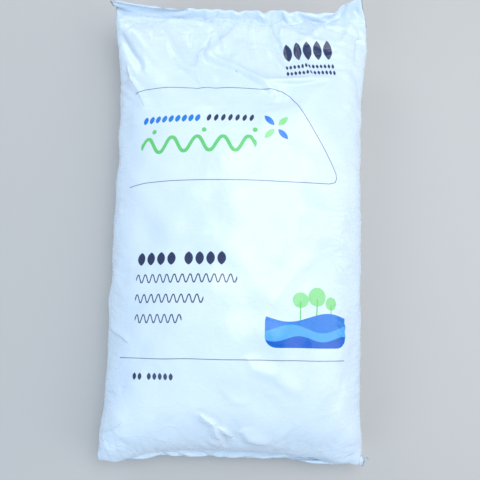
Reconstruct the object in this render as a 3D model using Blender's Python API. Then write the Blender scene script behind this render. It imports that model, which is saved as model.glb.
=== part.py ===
"""A full compost bag, lying flat: a tube of polythene film, heat-sealed straight across at both ends.

The bag and the compost sealed in it are one solid. Its length runs along Y, its width along X, and it
rests on Z = 0. The head end is at +Y and the foot end at -Y.
"""

import math

import bmesh
import bpy

# Driving dimensions, in metres
BAG_LENGTH = 0.892
BAG_WIDTH = 0.500
BAG_HEIGHT = 0.178

# End seals: a fin of two layers of film welded together, gathered because the filled bag pulls it in
SEAL_WIDTH = 0.530
SEAL_DEPTH = 0.020
SEAL_THICKNESS = 0.0008
HEAD_SEAL_HEIGHT = 0.108
FOOT_SEAL_HEIGHT = 0.066
HEAD_SEAL_DROP = 0.002
FOOT_SEAL_DROP = 0.015
GATHER_HEIGHT = 0.0040
GATHER_COUNT = 9
EAR_REACH = 0.006
EAR_START = 0.86

# How the filled body rounds off: a higher power gives a squarer form
END_POWER = 6.0
SIDE_POWER = 5.0
UNDERSIDE_END_POWER = 9.0
UNDERSIDE_SQUASH = 0.012

# Mesh
COLUMNS = 44
STATIONS = 30
FIN_STEPS = 2
SPREAD = 0.55

FILM_COLOUR = (0.78, 0.86, 0.93, 1.0)
FILM_ROUGHNESS = 0.32


def clear_scene():
    for old in list(bpy.data.objects):
        bpy.data.objects.remove(old, do_unlink=True)


def spread_out(count):
    """Places from -1 to 1 that lie closer together towards both ends."""
    even = [2 * i / count - 1 for i in range(count + 1)]
    return [(1 - SPREAD) * e + SPREAD * math.sin(0.5 * math.pi * e) for e in even]


def rounding(place, power):
    """1 along the middle, falling to 0 with an upright edge where place is -1 or 1."""
    return math.sqrt(max(0.0, 1 - abs(place) ** power))


def smooth_step(value):
    held = min(max(value, 0.0), 1.0)
    return held * held * (3 - 2 * held)


def seal_drop(end):
    """How far the free edge of the fin hangs below its weld, at the head (1) or foot (-1)."""
    return HEAD_SEAL_DROP if end > 0 else FOOT_SEAL_DROP


def fin_run(end):
    """How far the drooping fin reaches out along the bag."""
    return math.sqrt(SEAL_DEPTH**2 - seal_drop(end) ** 2)


def fold_height(along):
    """Height of the tube's side fold, which climbs from the foot seal to the head seal."""
    return FOOT_SEAL_HEIGHT + (HEAD_SEAL_HEIGHT - FOOT_SEAL_HEIGHT) * 0.5 * (1 + along)


def gather(across, along):
    """The wave that the gathered seal makes, fading into the filled body and flat at the ears."""
    wave = math.sin(math.pi * GATHER_COUNT * across + 0.7 * math.sin(3 * across) * (1 + along))
    return GATHER_HEIGHT * wave * abs(along) ** 14 * smooth_step((0.97 - abs(across)) / 0.2)


def ring(columns, along, outward, end):
    """One closed loop round the bag, from the left fold over the top to the right and back below.

    along is the place between the two welds, from -1 to 1. On a fin it stays at the weld, and outward
    runs from 0 there to 1 at the fin's free edge.
    """
    toward_seal = abs(along) ** 10
    half_width = 0.5 * (BAG_WIDTH + (SEAL_WIDTH - BAG_WIDTH) * toward_seal)
    weld = BAG_LENGTH / 2 - EAR_REACH - fin_run(end)
    level = fold_height(along)
    above = BAG_HEIGHT - level - 0.5 * SEAL_THICKNESS
    below = level + UNDERSIDE_SQUASH
    upper, lower = [], []
    for across in columns:
        ear = EAR_REACH * outward * smooth_step((abs(across) - EAR_START) / (1 - EAR_START))
        x = across * half_width
        y = end * (weld * abs(along) + outward * fin_run(end) + ear)
        fold = level + gather(across, along) - outward * seal_drop(end)
        crown = rounding(across, SIDE_POWER)
        rise = above * rounding(along, END_POWER) * crown
        fall = below * rounding(along, UNDERSIDE_END_POWER) * crown
        skin = 0.5 * SEAL_THICKNESS if abs(across) < 1 else 0.0
        upper.append((x, y, fold + rise + skin))
        lower.append((x, y, max(0.0, fold - fall - skin)))
    return upper + lower[-2:0:-1]


def rings():
    columns = spread_out(COLUMNS)
    foot_fin = [ring(columns, -1.0, 1 - step / FIN_STEPS, -1) for step in range(FIN_STEPS)]
    body = [ring(columns, along, 0.0, 1 if along > 0 else -1) for along in spread_out(STATIONS)]
    head_fin = [ring(columns, 1.0, (step + 1) / FIN_STEPS, 1) for step in range(FIN_STEPS)]
    return foot_fin + body + head_fin


def skin_between(mesh, first, second):
    """Quads between two loops of vertices that run the same way round."""
    count = len(first)
    for i in range(count):
        j = (i + 1) % count
        mesh.faces.new((first[i], first[j], second[j], second[i]))


def close_end(mesh, loop):
    """The narrow end face of a fin, as a strip between its upper and lower layers."""
    count = len(loop)
    for i in range(COLUMNS):
        corners = [loop[i], loop[i + 1], loop[(count - i - 1) % count], loop[(count - i) % count]]
        mesh.faces.new(list(dict.fromkeys(corners)))


def film_material():
    film = bpy.data.materials.new("white_film")
    film.use_nodes = True
    shader = film.node_tree.nodes["Principled BSDF"]
    shader.inputs["Base Color"].default_value = FILM_COLOUR
    shader.inputs["Roughness"].default_value = FILM_ROUGHNESS
    shader.inputs["Metallic"].default_value = 0.0
    return film


def make_bag():
    mesh = bmesh.new()
    loops = [[mesh.verts.new(point) for point in points] for points in rings()]
    for first, second in zip(loops, loops[1:]):
        skin_between(mesh, first, second)
    close_end(mesh, loops[0])
    close_end(mesh, loops[-1])
    bmesh.ops.recalc_face_normals(mesh, faces=mesh.faces)
    data = bpy.data.meshes.new("bag")
    mesh.to_mesh(data)
    mesh.free()
    data.shade_smooth()
    data.materials.append(film_material())
    bag = bpy.data.objects.new("bag", data)
    bpy.context.scene.collection.objects.link(bag)
    return bag


clear_scene()
make_bag()
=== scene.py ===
# A full compost bag lying flat: film tube, heat seals, print and a plain studio around it
import math

import bpy
import numpy as np
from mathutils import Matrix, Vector


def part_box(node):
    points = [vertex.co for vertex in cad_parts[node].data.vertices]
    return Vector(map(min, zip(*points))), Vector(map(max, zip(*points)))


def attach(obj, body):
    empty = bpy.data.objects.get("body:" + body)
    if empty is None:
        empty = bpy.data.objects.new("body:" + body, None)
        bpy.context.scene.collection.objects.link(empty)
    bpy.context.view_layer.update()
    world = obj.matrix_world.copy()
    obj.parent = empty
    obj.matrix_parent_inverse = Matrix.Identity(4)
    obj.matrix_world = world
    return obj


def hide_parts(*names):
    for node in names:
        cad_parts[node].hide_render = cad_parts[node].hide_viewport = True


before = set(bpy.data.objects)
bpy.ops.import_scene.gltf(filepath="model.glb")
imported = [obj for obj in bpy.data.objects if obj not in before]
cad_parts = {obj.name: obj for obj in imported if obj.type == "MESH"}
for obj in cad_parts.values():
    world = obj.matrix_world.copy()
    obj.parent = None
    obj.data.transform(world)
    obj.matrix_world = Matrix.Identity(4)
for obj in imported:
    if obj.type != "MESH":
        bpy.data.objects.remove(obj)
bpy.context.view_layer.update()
cadLow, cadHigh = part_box("bag")
bagLength = cadHigh.y - cadLow.y
bagWidth = cadHigh.x - cadLow.x
bagHeight = cadHigh.z
print("frame loaded, bag", round(bagLength, 3), "long")


filmValues = {
    "tubeWidth": 0.568,          # the tube pressed flat
    "tubeLength": 0.970,         # cut length, both seals included
    "fillVolume": 0.0585,        # cubic metres of settled compost
    "columns": 42,               # coarse cells across one layer, a multiple of 2
    "rows": 70,                  # coarse cells along the tube
    "sealRows": 1.5,             # width of a seal in coarse cells, about 20 mm
    "sealGap": 0.0006,           # thickness of the two welded layers
    "slump": 0.8,                # how much harder the compost presses towards the foot
    "headRoom": 1.3,             # how much the compost has slumped away from the head
    "weldShrink": 0.085,         # share by which the heat draws each end of the film in
    "lumpiness": 0.30,           # how unevenly the compost presses
    "stages": ((900, 4, 9e-5), (420, 4, 6e-5), (260, 5, 4e-5)),  # steps, passes, push
    "foldStiffness": 0.05,
    "seed": 5,
}

# each end's free edge: side, height, width once gathered, how far past the CAD's end, length and seed of its pleats
sealValues = {
    "head": {"side": 1, "height": 0.110, "width": 0.500, "beyond": -0.009, "wave": 0.036, "seed": 11},
    "foot": {"side": -1, "height": 0.054, "width": 0.502, "beyond": 0.002, "wave": 0.042, "seed": 23},
}
heldShare = {"head": 0.76, "foot": 0.86}  # the middle share of a seal that keeps its pleats; past it the film is free

# where the four corner ears end: past the CAD's side, past its end, and how high
earValues = {
    ("head", -1): (0.002, 0.003, 0.114),
    ("head", 1): (-0.029, 0.018, 0.126),
    ("foot", -1): (-0.019, -0.008, 0.038),
    ("foot", 1): (0.011, 0.001, 0.048),
}
earWidth = 0.026                 # flat film that stays stiff at each ear


def smoothStep(value):
    held = np.clip(value, 0.0, 1.0)
    return held * held * (3 - 2 * held)


def softNoise(across, along, size, seed, waves=24):
    # smooth noise between about -1 and 1, from seeded waves that run in all directions
    draw = np.random.default_rng(seed)
    total = np.zeros_like(across)
    for _ in range(waves):
        heading = draw.uniform(0, 2 * math.pi)
        pace = 2 * math.pi / (size * draw.uniform(0.7, 1.6))
        start = draw.uniform(0, 2 * math.pi)
        total += np.cos(pace * (math.cos(heading) * across + math.sin(heading) * along) + start)
    return total / math.sqrt(waves)


def filmGrid(level):
    # where each point of the net lies on the flat tube, and which layer it is in
    values = filmValues
    columns, rows = values["columns"] * 2**level, values["rows"] * 2**level
    place = np.arange(2 * columns)
    width = values["tubeWidth"]
    across = np.where(place <= columns, place, 2 * columns - place) * width / columns - width / 2
    layer = np.where(place < columns, 1.0, -1.0)
    layer[[0, columns]] = 0
    along = np.linspace(-0.5, 0.5, rows + 1) * values["tubeLength"]
    return {
        "across": np.tile(across, (rows + 1, 1)),
        "along": np.tile(along[:, None], (1, 2 * columns)),
        "layer": np.tile(layer, (rows + 1, 1)),
        "cellAcross": width / columns,
        "cellAlong": values["tubeLength"] / rows,
        "sealDepth": values["sealRows"] * values["tubeLength"] / values["rows"],
    }


def gatheredSeal(seal):
    # the pleated line of a seal: its height and place across, for each place on the flat film
    width = filmValues["tubeWidth"]
    flat = np.linspace(-width / 2, width / 2, 2401)
    step = flat[1] - flat[0]
    pleats = softNoise(flat, 0 * flat, seal["wave"], seal["seed"], 9)
    pleats *= smoothStep((width / 2 - np.abs(flat)) / 0.05)
    slack, tight = 0.0, 0.05
    for _ in range(40):  # pleats just high enough to gather the film to the seal's width
        depth = 0.5 * (slack + tight)
        run = np.sqrt(np.clip(1 - np.gradient(depth * pleats, flat) ** 2, 0.04, 1))
        slack, tight = (depth, tight) if run.sum() * step * (1 - filmValues["weldShrink"]) > seal["width"] else (slack, depth)
    gathered = np.concatenate([[0], np.cumsum(0.5 * (run[1:] + run[:-1]) * step)]) * (1 - filmValues["weldShrink"])
    return flat, gathered - gathered[-1] / 2, depth * pleats


def heldEdge(grid, end, gathered):
    # the points of a seal's free edge that stay put, and where: its pleated middle and its two ear tips
    seal = sealValues[end]
    row = -1 if seal["side"] > 0 else 0
    across = grid["across"][row]
    flat, placeAcross, pleats = gathered
    half = filmValues["tubeWidth"] / 2
    middle = np.abs(across) < heldShare[end] * half
    x = np.interp(across, flat, placeAcross)
    reach = bagLength / 2 + seal["beyond"]
    y = np.full_like(x, seal["side"] * reach)
    z = seal["height"] + np.interp(across, flat, pleats)
    for side in (-1, 1):
        out, on, up = earValues[end, side]
        out += bagWidth / 2
        on += bagLength / 2
        inward = half - side * across
        ear = inward < earWidth
        share = inward / (0.24 * half)
        x = np.where(ear, side * (out - 0.95 * inward), x)
        y = np.where(ear, seal["side"] * (on + (reach - on) * share), y)
        z = np.where(ear, up + (seal["height"] - up) * share, z)
        middle |= ear
    places = np.where(middle)[0]
    return row, places, np.stack([x, y, z])[:, places]


def weldedRows(grid):
    return np.where(np.abs(grid["along"][:, 0]) > filmValues["tubeLength"] / 2 - grid["sealDepth"] - 1e-6)[0]


def flatTube(grid, gathered):
    # the tube before it is filled: almost flat, already drawn in to its filled length
    width = filmValues["tubeWidth"]
    length = filmValues["tubeLength"]
    towardEnd = np.clip((length / 2 - grid["sealDepth"] - np.abs(grid["along"])) / 0.12, 0, 1)
    towardFold = np.clip((width / 2 - np.abs(grid["across"])) / 0.10, 0, 1)
    lift = grid["layer"] * (0.0004 + 0.05 * np.sqrt(towardEnd * towardFold))
    jitter = np.random.default_rng(filmValues["seed"]).standard_normal(lift.shape)
    headShare = smoothStep(grid["along"] / length + 0.5)
    sealHeight = sealValues["foot"]["height"] * (1 - headShare) + sealValues["head"]["height"] * headShare
    net = np.stack([
        grid["across"] * sealValues["head"]["width"] / width,
        grid["along"] * bagLength / length,
        sealHeight + lift + 0.002 * jitter * (towardEnd > 0),
    ])
    for end, seal in sealValues.items():
        flat, _, pleats = gathered[end]
        fade = smoothStep((seal["side"] * grid["along"] - 0.3) / 0.16)
        net[2] += np.interp(grid["across"], flat, pleats) * fade
    return net


def outwardAreas(net):
    # the area that each point stands for, as a vector that points out of the bag
    round_ = np.roll(net, -1, axis=2) - np.roll(net, 1, axis=2)
    on = np.zeros_like(net)
    on[:, 1:-1] = net[:, 2:] - net[:, :-2]
    return 0.25 * np.stack([
        round_[1] * on[2] - round_[2] * on[1],
        round_[2] * on[0] - round_[0] * on[2],
        round_[0] * on[1] - round_[1] * on[0],
    ])


def drawTight(net, rowStep, roundStep, rests, share):
    # moves each pair of points towards the distance that the film between them allows in their row
    step = rowStep or roundStep
    for phase in range(2 * step):
        rest = rests
        if rowStep:
            near, far = net[:, phase:net.shape[1] - step:2 * step], net[:, phase + step::2 * step]
            rest = rests[phase:net.shape[1] - step:2 * step]
            turn = roundStep
        else:
            near, far = net[:, :, phase::2 * step], net[:, :, (phase + step) % (2 * step)::2 * step]
            turn = (phase + step) // (2 * step)
        gap = np.roll(far, -turn, axis=2) - near
        gap *= 0.5 * share * (1 - rest / np.sqrt(gap[0] ** 2 + gap[1] ** 2 + gap[2] ** 2))
        near += gap
        far -= np.roll(gap, turn, axis=2)


def settle(net, grid, gathered, steps, passes, push):
    # the compost presses outwards, more so lower down, while the film keeps its length and the floor holds it
    held = [heldEdge(grid, end, gathered[end]) for end in sealValues]
    welded = weldedRows(grid)
    opposite = -np.arange(net.shape[2]) % net.shape[2]
    ends = smoothStep((np.abs(grid["along"][:, :1]) - filmValues["tubeLength"] / 2) / 0.10 + 1)
    across = grid["cellAcross"] * (1 - filmValues["weldShrink"] * ends)
    along = np.full_like(across, grid["cellAlong"])
    slant = np.hypot(across, along)
    uneven = 1 + filmValues["lumpiness"] * softNoise(grid["across"], grid["along"], 0.13, filmValues["seed"])
    before = net.copy()
    pressure = 0.3
    for _ in range(steps):
        areas = outwardAreas(net)
        missing = 1 - (net * areas).sum() / 3 / filmValues["fillVolume"]
        pressure = min(max(pressure + 0.4 * missing, -0.5), 6.0)
        load = (pressure + 30 * missing) * uneven + 8 * (bagHeight - net[2]) - filmValues["slump"] * net[1]
        load -= filmValues["headRoom"] * np.maximum(net[1] - 0.18, 0)
        drift = np.clip(0.92 * (net - before), -0.002, 0.002)
        before = net.copy()
        net += drift + areas * (load * push / (grid["cellAcross"] * grid["cellAlong"]))
        for turn in range(passes):
            drawTight(net, 1, 0, along, 1.0)
            drawTight(net, 0, 1, across, 1.0)
            drawTight(net, 1, 1, slant, 1.0)
            drawTight(net, 1, -1, slant, 1.0)
            if turn == 0:
                drawTight(net, 2, 0, 2 * along, filmValues["foldStiffness"])
                drawTight(net, 0, 2, 2 * across, filmValues["foldStiffness"])
            net[:, welded] = 0.5 * (net[:, welded] + net[:, welded][:, :, opposite])
            for row, places, goals in held:
                net[:, row, places] = goals
            below = net[2] < 0
            net[:2] = np.where(below, 0.5 * (net[:2] + before[:2]), net[:2])
            net[2][below] = 0
    return net


def finerNet(net):
    # twice as many points each way, along smooth curves through the old ones
    rows, places = net.shape[1:]
    wide = np.empty((3, rows, 2 * places))
    wide[:, :, ::2] = net
    wide[:, :, 1::2] = (9 * (net + np.roll(net, -1, 2)) - np.roll(net, 1, 2) - np.roll(net, -2, 2)) / 16
    ends = np.concatenate([2 * wide[:, :1] - wide[:, 1:2], wide, 2 * wide[:, -1:] - wide[:, -2:-1]], 1)
    long = np.empty((3, 2 * rows - 1, 2 * places))
    long[:, ::2] = wide
    long[:, 1::2] = (9 * (ends[:, 1:-2] + ends[:, 2:-1]) - ends[:, :-3] - ends[:, 3:]) / 16
    return long


def filledNet():
    gathered = {end: gatheredSeal(seal) for end, seal in sealValues.items()}
    net = flatTube(filmGrid(0), gathered)
    for level, (steps, passes, push) in enumerate(filmValues["stages"]):
        grid = filmGrid(level)
        if level:
            net = finerNet(net)
        net = settle(net, grid, gathered, steps, passes, push)
        size = np.ptp(net.reshape(3, -1), axis=1)
        print("film settled at level", level, np.round(size, 3))
        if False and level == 1:
            break
    return net, grid


foldValues = {
    "lumpSize": 0.075,           # soft lumps of compost under the film
    "lumpHeight": 0.0014,
    "webSize": 0.060,            # thin meandering ridges in the slack film
    "webHeight": 0.0013,
    "pleatPitch": 0.0115,        # fine pleats down the right side
    "pleatHeight": 0.0017,
    "gatherSize": 0.0150,        # short puckers that run in from the seals and the sides
    "gatherHeight": 0.0016,
    "seed": 31,
}

# creases of the upper layer: height, half width, lean to the left-hand side, and points (across, along) on the film
creaseValues = (
    # bottom middle: the folded corner, its crumple and the mound beside it
    (0.0052, 0.0060, -0.9, ((-0.055, -0.329), (-0.042, -0.339), (-0.031, -0.347), (-0.029, -0.360), (-0.024, -0.379))),
    (0.0044, 0.0055, -0.8, ((-0.024, -0.355), (-0.013, -0.359), (-0.007, -0.369), (0.000, -0.379))),
    (-0.0052, 0.0060, 0.6, ((-0.013, -0.369), (-0.012, -0.388), (-0.009, -0.410))),
    (-0.0030, 0.0070, 0.0, ((0.002, -0.368), (0.001, -0.396))),
    (0.0068, 0.0130, 0.8, ((0.016, -0.358), (0.030, -0.381), (0.069, -0.396))),
    (0.0022, 0.0055, 0.5, ((-0.059, -0.402), (-0.044, -0.424))),
    (0.0022, 0.0055, 0.5, ((-0.043, -0.387), (-0.027, -0.408))),
    (0.0020, 0.0055, -0.5, ((0.095, -0.388), (0.085, -0.412))),
    (0.0022, 0.0070, -0.6, ((0.109, -0.348), (0.085, -0.386))),
    (0.0024, 0.0110, 0.9, ((0.017, -0.222), (0.030, -0.247), (0.068, -0.258), (0.077, -0.268), (0.111, -0.294))),
    (0.0020, 0.0065, 0.3, ((-0.023, -0.279), (-0.010, -0.292), (0.002, -0.305), (0.026, -0.305))),
    (0.0012, 0.0055, 0.0, ((0.055, -0.289), (0.070, -0.287), (0.082, -0.294))),
    # bottom left corner
    (0.0030, 0.0060, 0.5, ((-0.256, -0.386), (-0.228, -0.372), (-0.203, -0.355))),
    (0.0026, 0.0055, 0.5, ((-0.256, -0.399), (-0.230, -0.381))),
    (-0.0026, 0.0060, 0.0, ((-0.210, -0.394), (-0.204, -0.412))),
    (-0.0024, 0.0060, 0.0, ((-0.144, -0.418), (-0.154, -0.436))),
    # top left corner
    (-0.0080, 0.0085, -0.7, ((-0.259, 0.396), (-0.240, 0.369), (-0.219, 0.342), (-0.211, 0.335), (-0.196, 0.310))),
    (0.0038, 0.0065, -0.4, ((-0.236, 0.322), (-0.224, 0.295), (-0.205, 0.272), (-0.197, 0.257), (-0.186, 0.238))),
    (0.0070, 0.0170, 0.4, ((-0.240, 0.402), (-0.185, 0.347), (-0.128, 0.300))),
    (0.0040, 0.0095, 0.9, ((-0.014, 0.446), (-0.046, 0.382), (-0.072, 0.351), (-0.084, 0.338))),
    (0.0010, 0.0045, 0.8, ((-0.128, 0.226), (-0.080, 0.231), (-0.030, 0.235))),
    # top right corner
    (0.0034, 0.0080, -0.6, ((0.196, 0.440), (0.166, 0.414), (0.135, 0.390))),
    (0.0040, 0.0075, 0.6, ((0.243, 0.440), (0.222, 0.404), (0.203, 0.378))),
    (-0.0030, 0.0060, 0.0, ((0.258, 0.424), (0.246, 0.390), (0.236, 0.352))),
    (0.0016, 0.0050, 0.5, ((0.181, 0.353), (0.219, 0.355))),
    (0.0020, 0.0050, 0.5, ((0.196, 0.311), (0.222, 0.309))),
    (0.0020, 0.0050, 0.5, ((0.208, 0.300), (0.236, 0.301))),
    (0.0018, 0.0050, 0.5, ((0.200, 0.249), (0.222, 0.248))),
    (-0.0036, 0.0120, 0.4, ((0.219, 0.324), (0.240, 0.306), (0.256, 0.286))),
    # right side and middle
    (0.0030, 0.0140, -0.9, ((0.192, -0.027), (0.148, -0.038), (0.119, -0.066), (0.092, -0.096), (0.067, -0.137))),
    (0.0016, 0.0100, 0.6, ((0.116, -0.014), (0.178, 0.013))),
    (0.0012, 0.0055, 0.4, ((-0.103, -0.023), (-0.054, -0.006))),
    # left side
    (0.0018, 0.0050, 0.5, ((-0.220, -0.082), (-0.185, -0.070))),
    (0.0030, 0.0055, 0.6, ((-0.250, -0.190), (-0.210, -0.201), (-0.194, -0.209))),
    (0.0026, 0.0050, 0.5, ((-0.268, -0.299), (-0.215, -0.292), (-0.176, -0.283))),
    (0.0022, 0.0050, 0.5, ((-0.259, -0.310), (-0.206, -0.297))),
)


def besideLine(across, along, points):
    # distance to a broken line, the side it lies on, and how far along the line the nearest point is
    spots = np.array(points)
    strides = np.diff(spots, axis=0)
    lengths = np.hypot(*strides.T)
    done = np.concatenate([[0], np.cumsum(lengths)]) / lengths.sum()
    nearest = np.full_like(across, 9.0)
    side = np.zeros_like(across)
    share = np.zeros_like(across)
    for i, (dx, dy) in enumerate(strides):
        held = np.clip(((across - spots[i, 0]) * dx + (along - spots[i, 1]) * dy) / lengths[i] ** 2, 0, 1)
        offX = across - spots[i, 0] - held * dx
        offY = along - spots[i, 1] - held * dy
        apart = np.hypot(offX, offY)
        closer = apart < nearest
        nearest = np.where(closer, apart, nearest)
        side = np.where(closer, dx * offY - dy * offX, side)
        share = np.where(closer, done[i] + held * (done[i + 1] - done[i]), share)
    return nearest, np.sign(side), share


def creaseHeight(across, along, crease):
    height, width, lean, points = crease
    apart, side, share = besideLine(across, along, points)
    taper = np.sqrt(np.clip(4 * share * (1 - share), 0, 1))
    apart = apart / width
    return height * (0.2 + 0.8 * taper) * np.exp(-apart**1.4) * (1 + 1.6 * lean * side * np.minimum(apart, 1.5))


def foldHeights(grid):
    # how far each point of the film stands proud of the settled shape
    values = foldValues
    across, along, layer = grid["across"], grid["along"], grid["layer"]
    half = filmValues["tubeWidth"] / 2
    end = filmValues["tubeLength"] / 2 - grid["sealDepth"]
    fromEnd = end - np.abs(along)
    fromSide = half - np.abs(across)
    slack = np.clip(0.30 + 0.9 * np.exp(-fromEnd / 0.07) + 0.5 * np.exp(-fromSide / 0.035), 0, 1)
    lumps = softNoise(across, along, values["lumpSize"], values["seed"], 40)
    heights = values["lumpHeight"] * lumps
    for share, shift in ((1.0, 1), (0.6, 2)):
        size = values["webSize"] * share
        web = softNoise(across + 0.7 * layer, along, size, values["seed"] + shift, 30)
        heights += values["webHeight"] * share * slack * np.exp(-np.abs(web) / 0.16)
    place = np.exp(-((across - 0.206) / 0.028) ** 2) * smoothStep((0.085 - along) / 0.05) * smoothStep((along + 0.22) / 0.06)
    slant = along + 0.25 * (across - 0.2) + 0.006 * softNoise(across, along, 0.05, values["seed"] + 5)
    pleats = np.sin(2 * math.pi * slant / values["pleatPitch"]) * (layer > 0)
    heights += values["pleatHeight"] * place * pleats
    gather = softNoise(across, 0.22 * along, values["gatherSize"], values["seed"] + 7, 40)
    heights += values["gatherHeight"] * gather * np.exp(-fromEnd / 0.030)
    tuck = softNoise(0.30 * across + 0.5 * layer, along, values["gatherSize"], values["seed"] + 8, 40)
    rarely = smoothStep(softNoise(across, along, 0.11, values["seed"] + 9) + 0.4)
    heights += 0.7 * values["gatherHeight"] * tuck * rarely * np.exp(-np.abs(fromSide - 0.045) / 0.022) * smoothStep(fromSide / 0.03)
    upper = (layer > 0) * smoothStep(fromSide / 0.02)
    for crease in creaseValues:
        heights += upper * creaseHeight(across, along, crease)
    return heights * smoothStep(fromEnd / 0.03)


def creasedNet(settled, grid):
    # the settled film with its small folds, and the thickness of its two layers
    outward = outwardAreas(settled)
    outward[:, [0, -1]] = outward[:, [1, -2]]
    outward /= np.maximum(np.sqrt((outward**2).sum(0)), 1e-12)
    net = settled + outward * (foldHeights(grid) + filmValues["sealGap"] / 2)
    resting = settled[2] < 0.0015
    net[2] = np.where(resting, settled[2], np.maximum(net[2], 0.0008))
    return net


def bagMesh(net, grid):
    rows, places = net.shape[1:]
    columns = places // 2
    corner = np.arange(rows * places).reshape(rows, places)
    beside = np.roll(corner, -1, axis=1)
    skin = np.stack([corner[:-1], beside[:-1], beside[1:], corner[1:]], -1).reshape(-1, 4).tolist()
    for row, turn in ((0, -1), (rows - 1, 1)):  # the narrow end of each fin
        loop = corner[row].tolist()
        for i in range(columns):
            strip = [loop[i], loop[i + 1], loop[-i - 1], loop[-i]] if i else [loop[0], loop[1], loop[-1]]
            strip = list(dict.fromkeys(strip))
            skin.append(strip[::turn])
    data = bpy.data.meshes.new("bagFilm")
    data.from_pydata(net.reshape(3, -1).T.tolist(), [], skin)
    place = data.attributes.new("filmPlace", "FLOAT_VECTOR", "POINT")
    spots = np.stack([grid["across"], grid["along"], grid["layer"]], -1)
    place.data.foreach_set("vector", spots.astype(np.float32).ravel())
    data.update()
    data.shade_smooth()
    bag = bpy.data.objects.new("bagFilm", data)
    bpy.context.scene.collection.objects.link(bag)
    return bag


class Wire:
    # a socket in shader sums: each sign between wires and numbers adds its own Math node
    def __init__(self, tree, socket=None):
        self.tree = tree
        self.socket = socket

    def node(self, kind, settings=None, sockets=None, out=0):
        # any other node: its settings first, then the values or wires of its sockets
        made = self.tree.nodes.new(kind)
        for name, value in (settings or {}).items():
            if name == "stops":
                for stop, (position, colour) in zip(made.color_ramp.elements, value):
                    stop.position = position
                    stop.color = colour
            else:
                setattr(made, name, value)
        for name, value in (sockets or {}).items():
            if isinstance(value, Wire):
                self.tree.links.new(value.socket, made.inputs[name])
            else:
                made.inputs[name].default_value = value
        return Wire(self.tree, made.outputs[out])

    def maths(self, operation, *others):
        return self.node("ShaderNodeMath", {"operation": operation}, dict(enumerate((self,) + others)))

    def __add__(self, other):
        return self.maths("ADD", other)

    def __mul__(self, other):
        return self.maths("MULTIPLY", other)

    def __sub__(self, other):
        return self.maths("SUBTRACT", other)

    def __truediv__(self, other):
        return self.maths("DIVIDE", other)

    def __rsub__(self, other):
        return self.node("ShaderNodeMath", {"operation": "SUBTRACT"}, {0: other, 1: self})

    __radd__ = __add__
    __rmul__ = __mul__

    def within(self, soft=0.0007):
        # 1 where the distance is below zero, 0 outside, over a soft edge
        limits = {"From Min": soft / 2, "From Max": -soft / 2}
        return self.node("ShaderNodeMapRange", {"clamp": True}, {"Value": self, **limits})

    def ramp(self, low, high):
        # 0 to 1 while the wire goes from low to high
        limits = {"From Min": low, "From Max": high}
        return self.node("ShaderNodeMapRange", {"interpolation_type": "SMOOTHSTEP"}, {"Value": self, **limits})

    def over(self, colour, under):
        # a colour laid over another where this mask is 1
        sockets = {"Factor": self, "A": under, "B": colour}
        made = self.tree.nodes.new("ShaderNodeMix")
        made.data_type = "RGBA"
        for name, value in sockets.items():
            socket = next(item for item in made.inputs if item.name == name and item.enabled)
            if isinstance(value, Wire):
                self.tree.links.new(value.socket, socket)
            else:
                socket.default_value = value
        return Wire(self.tree, next(item for item in made.outputs if item.enabled))


def bar(x, y, low, high, turn=0.0, round_=None):
    # distance to a rounded bar between two corners, leaning by turn
    centre = (0.5 * (low[0] + high[0]), 0.5 * (low[1] + high[1]))
    halfWide, halfTall = 0.5 * (high[0] - low[0]), 0.5 * (high[1] - low[1])
    round_ = min(halfWide, halfTall) if round_ is None else round_
    besideX = x - centre[0]
    besideY = y - centre[1] - besideX * turn
    overX = (besideX.maths("ABSOLUTE") - (halfWide - round_)).maths("MAXIMUM", 0.0)
    overY = (besideY.maths("ABSOLUTE") - (halfTall - round_)).maths("MAXIMUM", 0.0)
    return (overX * overX + overY * overY).maths("SQRT") - round_


def disc(x, y, centre, radius):
    besideX = x - centre[0]
    besideY = y - centre[1]
    return (besideX * besideX + besideY * besideY).maths("SQRT") - radius


def stroke(x, y, start, end, halfWidth):
    # distance to a straight stroke with round ends
    runX, runY = end[0] - start[0], end[1] - start[1]
    besideX = x - start[0]
    besideY = y - start[1]
    share = (besideX * (runX / (runX**2 + runY**2)) + besideY * (runY / (runX**2 + runY**2)))
    share = share.maths("MINIMUM", 1.0).maths("MAXIMUM", 0.0)
    offX = besideX - share * runX
    offY = besideY - share * runY
    return (offX * offX + offY * offY).maths("SQRT") - halfWidth


def waveStroke(x, y, low, high, waves, halfWidth):
    # distance to a running wave that fills the box between two corners
    pace = 2 * math.pi * waves / (high[0] - low[0])
    swing = 0.5 * (high[1] - low[1]) - halfWidth
    held = (x.maths("MAXIMUM", low[0])).maths("MINIMUM", high[0])
    angle = (held - low[0]) * pace
    away = y - 0.5 * (low[1] + high[1]) - angle.maths("SINE") * swing
    slope = angle.maths("COSINE") * (swing * pace)
    away = away / (slope * slope + 1.0).maths("SQRT")
    beyond = x - held
    return (away * away + beyond * beyond).maths("SQRT") - halfWidth


def leafRow(x, y, low, high, count, width, slant):
    # distance to a row of upright leaves, each where two discs overlap
    pitch = (high[0] - low[0]) / count
    middle = 0.5 * (low[1] + high[1])
    height = high[1] - low[1]
    beside = x - low[0] - (y - middle) * slant
    held = beside.maths("MAXIMUM", 0.0001).maths("MINIMUM", high[0] - low[0] - 0.0001)
    local = (held / pitch).maths("FRACT") * pitch - 0.5 * pitch + (beside - held)
    radius = (height**2 + width**2) / (4 * width)
    away = local.maths("ABSOLUTE") + (radius - width / 2)
    lift = y - middle
    return (away * away + lift * lift).maths("SQRT") - radius


def nearest(*distances):
    found = distances[0]
    for other in distances[1:]:
        found = found.maths("MINIMUM", other)
    return found


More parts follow.
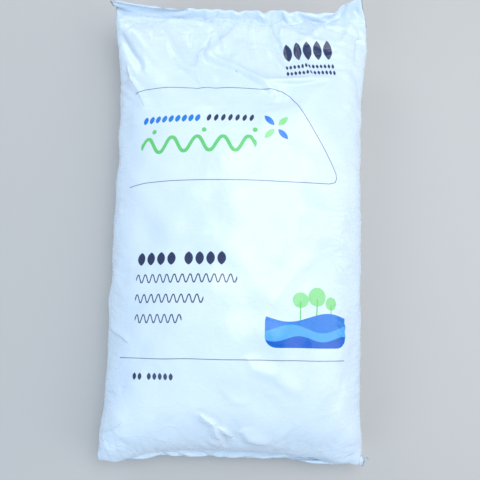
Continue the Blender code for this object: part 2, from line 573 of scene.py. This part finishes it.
# the print, in metres on the flat film from its middle: across, along
printValues = {
    "bow": 0.20,                 # how far the print's rows bend towards the foot at the sides
    "skew": -0.014,
    "drift": 0.006,              # the film's stretch under the print, near the folds
    "navy": (0.008, 0.016, 0.080, 1),
    "slate": (0.020, 0.030, 0.100, 1),
    "blue": (0.000, 0.190, 0.680, 1),
    "deepBlue": (0.000, 0.110, 0.560, 1),
    "paleBlue": (0.080, 0.400, 0.840, 1),
    "green": (0.150, 0.600, 0.170, 1),
    "paleGreen": (0.270, 0.700, 0.260, 1),
    "rule": (0.150, 0.160, 0.260, 1),
    "ruleHalfWidth": 0.00075,
}

# corners of the open panel round the upper print, from its top left end to its lower left end
panelPoints = (
    (-0.208, 0.272), (-0.190, 0.277), (-0.150, 0.276), (0.056, 0.277), (0.076, 0.273), (0.092, 0.262), (0.105, 0.244),
    (0.171, 0.134), (0.180, 0.117), (0.182, 0.108), (0.178, 0.100), (0.166, 0.096), (0.100, 0.093), (0.010, 0.0935),
    (-0.130, 0.0935), (-0.175, 0.093), (-0.210, 0.089),
)


def printShapes(x, y):
    # every colour of the print and the distance to its shapes
    values = printValues
    thin = values["ruleHalfWidth"]
    lines = [stroke(x, y, start, end, thin) for start, end in zip(panelPoints, panelPoints[1:])]
    lines.append(stroke(x, y, (-0.212, -0.2285), (0.202, -0.2285), thin))
    navy = nearest(
        leafRow(x, y, (-0.066, 0.2065), (0.026, 0.2205), 7, 0.0078, 0.25),
        leafRow(x, y, (-0.182, -0.062), (-0.105, -0.038), 4, 0.0150, 0.0),
        leafRow(x, y, (-0.094, -0.062), (-0.017, -0.038), 4, 0.0150, 0.0),
        leafRow(x, y, (-0.181, -0.267), (-0.160, -0.254), 2, 0.0074, 0.0),
        leafRow(x, y, (-0.153, -0.267), (-0.102, -0.254), 5, 0.0074, 0.0),
        leafRow(x, y, (0.086, 0.348), (0.186, 0.388), 5, 0.0170, 0.0),
        leafRow(x, y, (0.086, 0.3285), (0.186, 0.3385), 13, 0.0052, 0.0),
        leafRow(x, y, (0.086, 0.3125), (0.186, 0.3225), 13, 0.0052, 0.0),
    )
    slate = nearest(
        waveStroke(x, y, (-0.181, -0.094), (0.000, -0.078), 13, 0.0011),
        waveStroke(x, y, (-0.181, -0.130), (-0.056, -0.114), 9, 0.0011),
        waveStroke(x, y, (-0.181, -0.166), (-0.092, -0.150), 6.5, 0.0011),
    )
    blue = leafRow(x, y, (-0.186, 0.206), (-0.074, 0.220), 9, 0.0095, 0.25)
    green = nearest(
        waveStroke(x, y, (-0.184, 0.146), (0.026, 0.180), 4.5, 0.0034),
        disc(x, y, (-0.161, 0.1895), 0.0045),
        disc(x, y, (-0.067, 0.1895), 0.0045),
        disc(x, y, (0.026, 0.1895), 0.0045),
    )
    petals = []
    for side in (-1, 1):
        for lift in (-1, 1):  # each petal is where two discs overlap
            centre = (0.0645 + 0.0125 * side, 0.1955 + 0.0125 * lift)
            lens = [disc(x, y, (centre[0] + k * side * 0.0085, centre[1] - k * lift * 0.0085), 0.0175) for k in (-1, 1)]
            petals.append(lens[0].maths("MAXIMUM", lens[1]))
    fields = bar(x, y, (0.050, -0.206), (0.204, -0.140), 0.0, 0.020)
    hills = []
    for height, swing, length, start in ((-0.152, 0.008, 0.150, 0.9), (-0.172, 0.007, 0.115, 2.6), (-0.190, 0.005, 0.090, 0.2)):
        crest = (x * (2 * math.pi / length) + start).maths("SINE") * swing
        hills.append((y - height - crest).maths("MAXIMUM", fields))
    trees = nearest(
        disc(x, y, (0.112, -0.1215), 0.0140),
        disc(x, y, (0.142, -0.1150), 0.0170),
        disc(x, y, (0.171, -0.1260), 0.0120),
    )
    stems = nearest(
        stroke(x, y, (0.112, -0.125), (0.112, -0.158), 0.0011),
        stroke(x, y, (0.142, -0.120), (0.142, -0.160), 0.0013),
        stroke(x, y, (0.171, -0.129), (0.171, -0.158), 0.0011),
    )
    return (
        (values["rule"], nearest(*lines)),
        (values["navy"], navy),
        (values["slate"], slate),
        (values["blue"], nearest(blue, petals[1], petals[2])),
        (values["green"], green),
        (values["paleGreen"], nearest(petals[0], petals[3], trees)),
        (values["green"], stems),
        (values["blue"], hills[0]),
        (values["paleBlue"], hills[1]),
        (values["deepBlue"], hills[2]),
    )


finishValues = {
    "film": (0.745, 0.850, 0.945, 1),
    "filmDull": (0.640, 0.765, 0.890, 1),   # where compost darkens the film from inside
    "speck": (0.180, 0.200, 0.230, 1),
    "roughness": 0.26,
    "wrinkle": 0.00045,          # depth of the fine wrinkles, metres
}


def whiteFilm():
    # thin white polythene with its print, fine wrinkles, scuffs and specks
    values = finishValues
    film = bpy.data.materials.new("whiteFilm")
    film.use_nodes = True
    tree = film.node_tree
    surface = tree.nodes["Principled BSDF"]
    start = Wire(tree)
    place = start.node("ShaderNodeAttribute", {"attribute_name": "filmPlace"}, out=1)
    across = place.node("ShaderNodeSeparateXYZ", sockets={0: place}, out=0)
    along = place.node("ShaderNodeSeparateXYZ", sockets={0: place}, out=1)
    layer = place.node("ShaderNodeSeparateXYZ", sockets={0: place}, out=2)
    object_ = start.node("ShaderNodeTexCoord", out=3)

    def noise(scale, detail=3.0, roughness=0.5, distortion=0.0, stretch=(1, 1, 1), source=place):
        spread = source.node("ShaderNodeMapping", {}, {"Vector": source, "Scale": stretch})
        sockets = {"Vector": spread, "Scale": scale, "Detail": detail, "Roughness": roughness, "Distortion": distortion}
        return source.node("ShaderNodeTexNoise", {}, sockets)

    x = across
    y = along + across * across * printValues["bow"] + across * printValues["skew"]
    wander = noise(9.0, 2.0) - 0.5
    x = x + wander * 0.0014
    y = y + (noise(7.0, 2.0, source=object_) - 0.5) * 0.0014

    cloud = noise(5.5, 3.0, 0.55, source=object_).ramp(0.34, 0.70)
    mottle = noise(42.0, 4.0, 0.62, source=object_).ramp(0.40, 0.72)
    colour = (cloud * 0.55 + mottle * 0.20).over(values["filmDull"], values["film"])
    upper = layer.ramp(0.2, 0.6)
    for ink, distance in printShapes(x, y):
        shade = noise(60.0, 3.0, source=object_).ramp(0.2, 0.45) * 0.10 + 0.90 if ink == printValues["green"] else 0.97
        colour = (distance.within() * upper * shade).over(ink, colour)
    sparse = start.node("ShaderNodeTexVoronoi", {"feature": "F1"}, {"Vector": object_, "Scale": 26.0, "Randomness": 1.0})
    rare = noise(11.0, 1.0, source=object_).ramp(0.58, 0.66)
    specks = (0.034 - sparse).ramp(0.0, 0.010) * rare
    colour = (specks * 0.75).over(values["speck"], colour)

    scuff = noise(14.0, 5.0, 0.7, 0.6, (1.0, 3.2, 1.0)).ramp(0.50, 0.74)
    rough = scuff * 0.14 + mottle * 0.06 + values["roughness"]

    crinkle = noise(15.0, 3.0, 0.45, 0.7, (1.0, 1.5, 1.0))
    web = (crinkle - 0.5).maths("ABSOLUTE").ramp(0.045, 0.0)
    fine = noise(70.0, 3.0, 0.55, 0.4)
    half = filmValues["tubeWidth"] / 2
    nearSide = across.maths("ABSOLUTE").ramp(half - 0.12, half - 0.01)
    nearEnd = along.maths("ABSOLUTE").ramp(0.28, 0.44)
    slack = (nearSide.maths("MAXIMUM", nearEnd)) * 0.75 + 0.25
    crimp = (along * (2 * math.pi / 0.0024)).maths("SINE") * along.maths("ABSOLUTE").ramp(0.4640, 0.4655)
    sharp = []
    for height, width, _, points in creaseValues:
        if abs(height) >= 0.0030 and width <= 0.0065:
            line = nearest(*(stroke(across, along, a, b, 0.0) for a, b in zip(points, points[1:])))
            sharp.append(line.ramp(0.0042, 0.0) * math.copysign(0.0012, height))
    relief = sum(sharp) * upper + web * slack * values["wrinkle"] + fine * 0.00014 + crimp * 0.00008
    bump = start.node("ShaderNodeBump", {}, {"Strength": 1.0, "Distance": 1.0, "Height": relief})

    tree.links.new(colour.socket, surface.inputs["Base Color"])
    tree.links.new(rough.socket, surface.inputs["Roughness"])
    tree.links.new(bump.socket, surface.inputs["Normal"])
    surface.inputs["IOR"].default_value = 1.50
    surface.inputs["Specular IOR Level"].default_value = 0.45
    surface.inputs["Coat Weight"].default_value = 0.12
    surface.inputs["Coat Roughness"].default_value = 0.16
    return film


settled, grid = filledNet()
net = creasedNet(settled, grid)
bag = bagMesh(net, grid)
bag.data.materials.append(whiteFilm())
print("bag made,", len(bag.data.polygons), "faces")


studioValues = {
    "floorSize": 6.0,
    "cameraDistance": 1.020,
    "cameraTilt": 5.4,           # degrees from straight down
    "cameraRoll": 1.6,
    "cameraAngle": 49.6,
    "aim": (0.0100, -0.024, 0.09),
}


def makeFloor():
    half = studioValues["floorSize"] / 2
    data = bpy.data.meshes.new("floor")
    data.from_pydata([(-half, -half, 0), (half, -half, 0), (half, half, 0), (-half, half, 0)], [], [(0, 1, 2, 3)])
    floor = bpy.data.objects.new("floor", data)
    bpy.context.scene.collection.objects.link(floor)
    paint = bpy.data.materials.new("paleFloor")
    paint.use_nodes = True
    paint.node_tree.nodes["Principled BSDF"].inputs["Base Color"].default_value = (0.56, 0.54, 0.52, 1)
    paint.node_tree.nodes["Principled BSDF"].inputs["Roughness"].default_value = 0.9
    data.materials.append(paint)
    return floor


def aimAt(item, target):
    item.rotation_euler = (Vector(target) - item.location).to_track_quat("-Z", "Y").to_euler()


def softLamp(name, place, size, power, colour, target=(0, 0, 0.05)):
    light = bpy.data.lights.new(name, "AREA")
    light.size = size
    light.energy = power
    light.color = colour
    lamp = bpy.data.objects.new(name, light)
    lamp.location = place
    aimAt(lamp, target)
    bpy.context.scene.collection.objects.link(lamp)


def makeCamera():
    tilt = math.radians(studioValues["cameraTilt"])
    view = bpy.data.cameras.new("camera")
    view.angle = math.radians(studioValues["cameraAngle"])
    camera = bpy.data.objects.new("camera", view)
    aim = Vector(studioValues["aim"])
    camera.location = aim + studioValues["cameraDistance"] * Vector((0, -math.sin(tilt), math.cos(tilt)))
    camera.rotation_euler = (tilt, 0, math.radians(studioValues["cameraRoll"]))
    bpy.context.scene.collection.objects.link(camera)
    bpy.context.scene.camera = camera


floor = makeFloor()
softLamp("skyPanel", (0.5, 0.45, 2.1), 1.5, 26, (0.93, 0.97, 1.0))
softLamp("sidePanel", (1.9, -0.3, 1.3), 1.6, 16, (1.0, 0.99, 0.97))
softLamp("leftPanel", (-1.5, -1.4, 1.3), 1.8, 17, (0.66, 0.83, 1.0))
softLamp("headPanel", (-1.2, 1.7, 1.0), 1.0, 10, (0.95, 0.98, 1.0))
world = bpy.data.worlds.new("studio")
world.use_nodes = True
world.node_tree.nodes["Background"].inputs["Color"].default_value = (0.66, 0.81, 1.0, 1)
world.node_tree.nodes["Background"].inputs["Strength"].default_value = 0.47
bpy.context.scene.world = world
bpy.context.scene.view_settings.view_transform = "Standard"
makeCamera()

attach(bag, "root")
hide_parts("bag")
